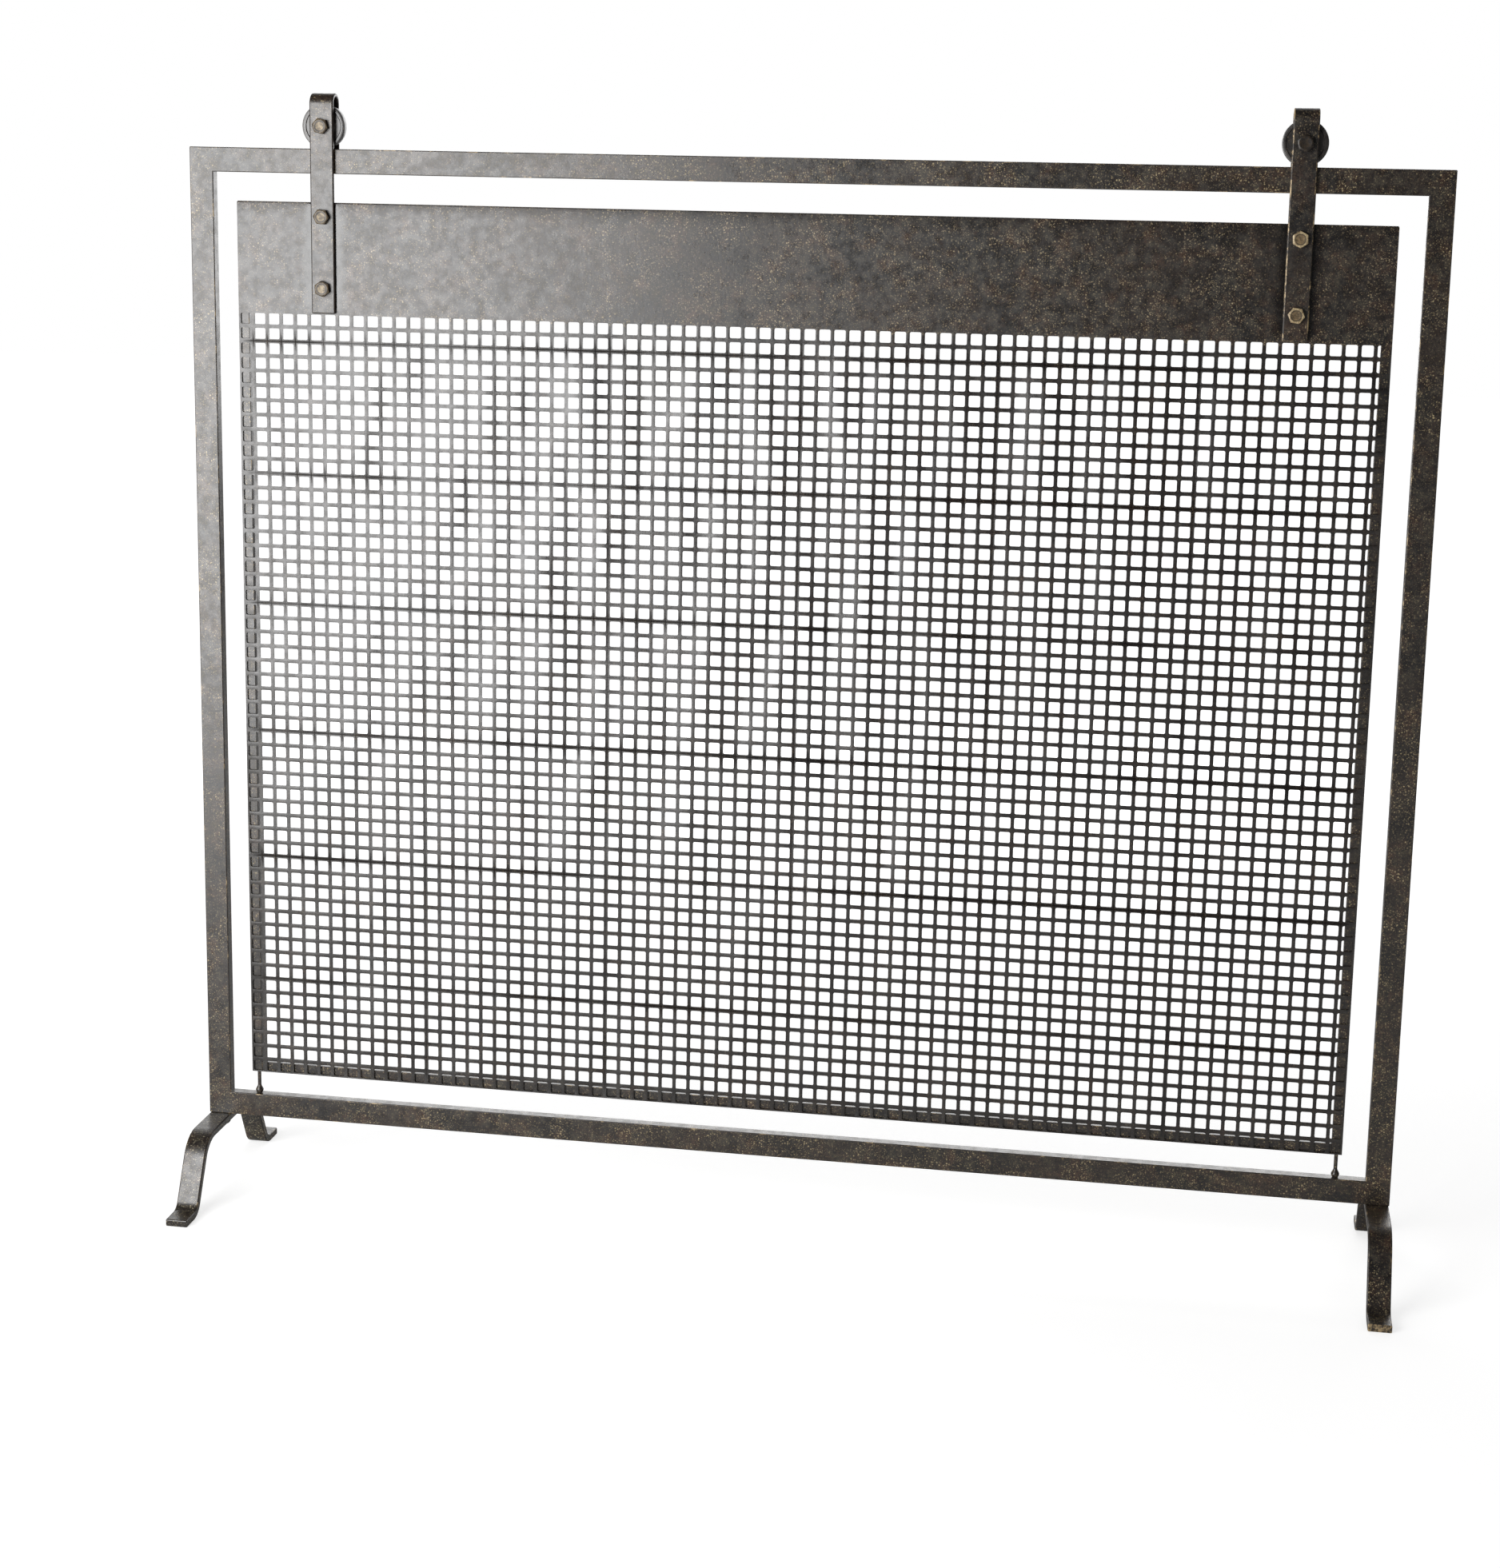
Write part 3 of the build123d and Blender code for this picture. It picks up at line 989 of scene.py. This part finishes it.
def wheel_mesh(name, node, bush):
    """A turned wheel with a sunk web on both faces, bored for its bush."""
    low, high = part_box(node)
    middle = (low + high) / 2
    half = (high.y - low.y) / 2
    radius = (high.z - low.z) / 2
    bush_low, bush_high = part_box(bush)
    bore = (bush_high.x - bush_low.x) / 2
    outside = [
        (bore, half),
        (HUB_OUTER, half),
        (WEB_INNER, half - WEB_DEPTH),
        (WEB_OUTER, half - WEB_DEPTH),
        (RIM_INNER, half),
        (radius - RIM_ROUND, half),
        (radius - RIM_ROUND * RIM_BREAK, half - RIM_ROUND * RIM_BREAK),
        (radius, half - RIM_ROUND),
    ]
    steps = [(r, -h) for r, h in outside] + list(reversed(outside))
    points, faces = turned(steps, ROUND_SEGMENTS, closed=True)
    return mesh_of(name, standing(points, middle, Vector((0, 1, 0))), faces)


def pin_mesh(name, x, low, high):
    """A guide pin: a rod that ends in a drop-shaped glide."""
    steps = [(0, low), (DROP_BASE * DROP_FOOT, low), (DROP_BASE, low + DROP_FOOT_HEIGHT)]
    for step in range(DROP_STEPS + 1):
        share = step / DROP_STEPS
        fall = (1 + math.cos(math.pi * share)) / 2
        height = low + DROP_BELLY + (DROP_HEIGHT - DROP_BELLY) * share
        steps.append((PIN_RADIUS + (DROP_RADIUS - PIN_RADIUS) * fall, height))
    steps += [(PIN_RADIUS, high), (0, high)]
    points, faces = turned(steps, PIN_SEGMENTS)
    return mesh_of(name, standing(points, Vector((x, 0, 0)), Vector((0, 0, 1))), faces)


def add_frame():
    """Posts and rails, whose welded corners are ground flush, and the bolted legs."""
    for rail in ("bottom_rail", "top_rail"):
        mesh = softened(rail + "_bar", rail, BAR_EDGE, welded=True)
        piece(rail + "_bar", mesh, [frame_bronze, edge_bronze], [rail], "frame", flat=True)
    for side in SIDES:
        post = side + "_post"
        mesh = softened(post + "_bar", post, BAR_EDGE, bored=True)
        piece(post + "_bar", mesh, [frame_bronze, edge_bronze], [post], "frame", flat=True)
        leg = side + "_leg"
        mesh = softened(leg + "_forged", leg, LEG_EDGE, bored=True)
        rub_toes(mesh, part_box(leg)[1].y)
        materials = [leg_bronze[side], edge_bronze, toe_bronze[side]]
        piece(leg + "_forged", mesh, materials, [leg], "frame", flat=True)


def add_panel():
    """The punched sheet with the bars behind its rim, the straps and the guide pins."""
    sheet = SheetMesh().build()
    piece("punched_sheet", sheet, [panel_bronze, shaded_hole_wall], ["panel_sheet"], "panel")
    for bar in ("left_stile", "right_stile", "bottom_bar"):
        mesh = softened(bar + "_rod", bar, THIN_EDGE)
        piece(bar + "_rod", mesh, [bar_bronze, edge_bronze], [bar], "panel", flat=True)
    low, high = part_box("guide_pins")
    for side in SIDES:
        hanger = side + "_hanger"
        mesh = softened(hanger + "_strap", hanger, STRAP_EDGE, bored=True)
        materials = [hanger_bronze, strap_edges_lit_and_shaded[side]]
        piece(hanger + "_strap", mesh, materials, [hanger], "panel", flat=True)
        x = low.x + DROP_RADIUS if side == "left" else high.x - DROP_RADIUS
        name = side + "_guide_pin"
        mesh = pin_mesh(name, x, low.z, high.z)
        piece(name, mesh, [frame_bronze], ["guide_pins"], "panel")


def add_strap_fasteners(side):
    """The two bolts through a hanger and the header, with the nuts behind."""
    bolts_low, bolts_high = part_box("hanger_bolts")
    nuts_low, nuts_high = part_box("hanger_nuts")
    strap_low, strap_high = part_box(side + "_hanger")
    x = (strap_low.x + strap_high.x) / 2
    head = strap_low.y - bolts_low.y
    heights = {"upper": bolts_high.z - HEX_FLATS / 2, "lower": bolts_low.z + HEX_FLATS / 2}
    for k, (place, z) in enumerate(heights.items()):
        name = f"{side}_{place}_bolt"
        seat = Vector((x, strap_low.y, z))
        mesh = bolt_mesh(name, seat, TO_FRONT, head, bolts_high.y - strap_low.y, BOLT_SPINS[side][k])
        piece(name, mesh, strap_bolts_by_light[side], ["hanger_bolts"], "panel")
        name = f"{side}_{place}_nut"
        seat = Vector((x, nuts_low.y, z))
        mesh = nut_mesh(name, seat, -TO_FRONT, nuts_high.y - nuts_low.y, BOLT_SPINS[side][1 - k])
        piece(name, mesh, [bolt_dark], ["hanger_nuts"], "panel")


def add_axle(side):
    """The bolt that a wheel turns on, with its nut."""
    axles_low, axles_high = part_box("axle_bolts")
    nuts_low, nuts_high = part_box("axle_nuts")
    strap_low, strap_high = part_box(side + "_hanger")
    x = (strap_low.x + strap_high.x) / 2
    z = axles_high.z - HEX_FLATS / 2
    head = strap_low.y - axles_low.y
    name = side + "_axle_bolt"
    seat = Vector((x, strap_low.y, z))
    mesh = bolt_mesh(name, seat, TO_FRONT, head, axles_high.y - strap_low.y, BOLT_SPINS[side][2])
    piece(name, mesh, axle_bolts[side], ["axle_bolts"], "panel")
    name = side + "_axle_nut"
    seat = Vector((x, nuts_low.y, z))
    mesh = nut_mesh(name, seat, -TO_FRONT, nuts_high.y - nuts_low.y, BOLT_SPINS[side][0])
    piece(name, mesh, [bolt_dark], ["axle_nuts"], "panel")


def add_leg_bolt(side):
    """The bolt that holds a leg, with its head below."""
    bolts_low, bolts_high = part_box("leg_bolts")
    leg_low, leg_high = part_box(side + "_leg")
    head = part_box(side + "_hanger")[0].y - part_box("hanger_bolts")[0].y
    name = side + "_leg_bolt"
    seat = Vector(((leg_low.x + leg_high.x) / 2, 0, bolts_low.z + head))
    mesh = bolt_mesh(name, seat, Vector((0, 0, -1)), head, bolts_high.z - seat.z, BOLT_SPINS[side][1])
    piece(name, mesh, dark_bolt, ["leg_bolts"], "frame")


def add_fasteners():
    """Bolts and nuts of both sides."""
    for side in SIDES:
        add_strap_fasteners(side)
        add_axle(side)
        add_leg_bolt(side)


def add_rollers():
    """Wheels on their bushes, and the spacers beside them."""
    for side in SIDES:
        body = side + "_roller"
        name = side + "_wheel_turned"
        mesh = wheel_mesh(name, side + "_wheel", side + "_bush")
        piece(name, mesh, [roller_steel], [side + "_wheel"], body)
        name = side + "_bush_sleeve"
        mesh = softened(name, side + "_bush", THIN_EDGE / 2)
        piece(name, mesh, [bush_brass, bush_brass], [side + "_bush"], body)
    mesh = softened("axle_spacer_rings", "axle_spacers", THIN_EDGE / 2)
    piece("axle_spacer_rings", mesh, [bolt_dark, edge_bronze], ["axle_spacers"], "panel")


def add_floor():
    """A pale floor. The camera sees it lifted to white, less near the object, so that its shadow shows."""
    far = FLOOR_REACH
    corners = [(-far, -far, 0), (far, -far, 0), (far, far, 0), (-far, far, 0)]
    mesh = mesh_of("floor", corners, [(0, 1, 2, 3)])
    floor = bpy.data.objects.new("floor", mesh)
    bpy.context.scene.collection.objects.link(floor)
    f = Finish("pale_floor")
    f.wear(f.mix(f.noise(FLOOR_CLOUDS, detail=3), FLOOR_PALE, FLOOR_PALER), FLOOR_ROUGH, gloss=0.0)
    lift = f.band(f.length(f.place), LIFT_NEAR, LIFT_FAR, bottom=LIFT_LEAST, top=LIFT_MOST)
    seen = f.add("ShaderNodeLightPath").outputs["Is Camera Ray"]
    f.shader.inputs["Emission Color"].default_value = WHITE
    f.feed(f.shader.inputs["Emission Strength"], f.maths("MULTIPLY", seen, lift))
    mesh.materials.append(f.material)


def add_world():
    """White to the camera. Shiny surfaces see white behind the object and a dim room in front of it."""
    world = bpy.data.worlds.new("studio")
    bpy.context.scene.world = world
    world.use_nodes = True
    sky = Nodes(world.node_tree)
    ray = sky.add("ShaderNodeLightPath").outputs
    way = sky.axes(sky.add("ShaderNodeTexCoord").outputs["Generated"])
    room = sky.mix(sky.band(way["Y"], ROOM_EDGE, WINDOW_EDGE), ROOM_DARK, WHITE)
    mirrored = sky.maths("MAXIMUM", ray["Is Glossy Ray"], ray["Is Transmission Ray"])
    light = sky.mix(mirrored, ROOM_LIGHT, room)
    shown = sky.mix(ray["Is Camera Ray"], light, WHITE)
    sky.feed(sky.tree.nodes["Background"].inputs["Color"], shown)


def add_softbox(name, place, target, width, height, brightness):
    """A soft rectangular lamp. Its brightness is the radiance of its face, where 1 is white."""
    lamp = bpy.data.lights.new(name, "AREA")
    lamp.shape = "RECTANGLE"
    lamp.size = width
    lamp.size_y = height
    lamp.energy = brightness * math.pi * width * height
    thing = bpy.data.objects.new(name, lamp)
    thing.location = place
    thing.rotation_euler = (Vector(target) - Vector(place)).to_track_quat("-Z", "Y").to_euler()
    bpy.context.scene.collection.objects.link(thing)


def add_camera():
    """A camera at the photograph's place, whose frame is the photograph's crop."""
    camera = bpy.data.cameras.new("photo_camera")
    camera.sensor_width = SENSOR_SIZE
    camera.lens = FOCAL_PIXELS * SENSOR_SIZE / PHOTO_HEIGHT
    camera.shift_x = (PHOTO_WIDTH / 2 - OPTICAL_CENTRE[0]) / PHOTO_HEIGHT
    camera.shift_y = (OPTICAL_CENTRE[1] - PHOTO_HEIGHT / 2) / PHOTO_HEIGHT
    thing = bpy.data.objects.new("photo_camera", camera)
    turn = Matrix.Rotation(CAMERA_TURN, 4, "Z")
    dip = Matrix.Rotation(math.pi / 2 - CAMERA_DIP, 4, "X")
    roll = Matrix.Rotation(CAMERA_ROLL, 4, "Z")
    thing.matrix_world = Matrix.Translation(CAMERA_PLACE) @ turn @ dip @ roll
    bpy.context.scene.collection.objects.link(thing)
    bpy.context.scene.camera = thing


add_frame()
add_panel()
add_fasteners()
add_rollers()
add_floor()
add_world()
add_softbox("key_softbox", **KEY_SOFTBOX)
add_softbox("back_softbox", **BACK_SOFTBOX)
add_camera()
bpy.context.scene.view_settings.view_transform = "Standard"
